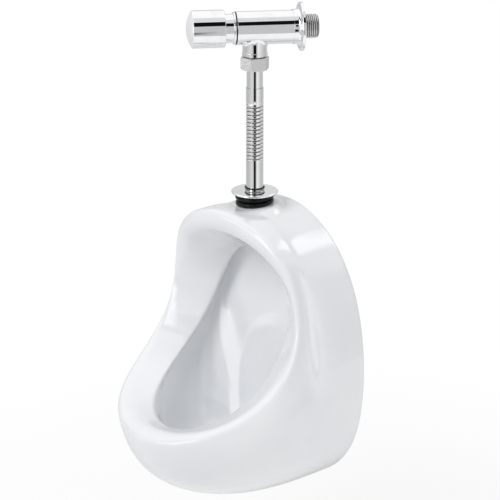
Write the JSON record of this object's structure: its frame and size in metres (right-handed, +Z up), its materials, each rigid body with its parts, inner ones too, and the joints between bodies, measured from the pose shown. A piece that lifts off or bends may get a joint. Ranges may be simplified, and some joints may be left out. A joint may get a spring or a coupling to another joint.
{
  "type": "wall-hung urinal",
  "caption": "Wall-hung ceramic urinal bowl with a chrome push-button flush valve on a ribbed flush pipe, rosette, rubber inlet grommet, waste and wall hooks.",
  "frame": {"origin": "on the wall plane, midway between the two hook screws", "axes": "+X to the user's right, +Y into the wall, +Z up"},
  "size_m": [0.2978, 0.2684, 0.6362],
  "materials": {
    "china": "gloss glaze",
    "chrome": "polished",
    "satin_chrome": "satin",
    "brass": "turned",
    "steel": "bright",
    "zinc_steel": "zinc plated",
    "rubber": "matt"
  },
  "bodies": {
    "bowl_and_pipe": {"bowl": "china", "wall_hooks": "zinc_steel", "waste_strainer": "chrome", "strainer_screw": "steel", "strainer_seal": "rubber", "waste_washer": "rubber", "waste_tail": "chrome", "inlet_grommet": "rubber", "flush_pipe": "chrome", "union_tail": "chrome", "union_washer": "rubber", "union_nut": "satin_chrome"},
    "valve": {"valve_body": "chrome", "seat_ring": "brass", "neck_sleeve": "chrome", "front_ring": "rubber", "inlet_nipple": "satin_chrome", "nipple_ring": "rubber", "inlet_filter": "steel", "return_spring": "steel"},
    "button": {"button_cap": "chrome", "button_stem": "steel", "damping_piston": "brass", "piston_ring": "rubber", "valve_disc": "rubber", "disc_nut": "brass"},
    "wall_escutcheon": {"escutcheon": "chrome"},
    "pipe_rosette": {"rosette": "chrome", "rosette_ring": "rubber"}
  },
  "joints": [
    {"name": "valve_swivel", "type": "hinge", "parent": "bowl_and_pipe", "child": "valve", "pos_m": [0, -0.054, 0.32398], "axis": [0, 0, 1], "range_deg": [0, 60]},
    {"name": "button_press", "type": "slide", "parent": "valve", "child": "button", "axis": [0.5592, 0.829, 0], "range_m": [0, 0.008], "stiffness_N_per_m": 600, "springref_m": -0.012, "deforming": ["return_spring"]},
    {"name": "escutcheon_slide", "type": "slide", "parent": "valve", "child": "wall_escutcheon", "axis": [0.5592, 0.829, 0], "range_m": [-0.02, 0.012]},
    {"name": "rosette_lift", "type": "slide", "parent": "bowl_and_pipe", "child": "pipe_rosette", "axis": [0, 0, 1], "range_m": [0, 0.03]}
  ]
}
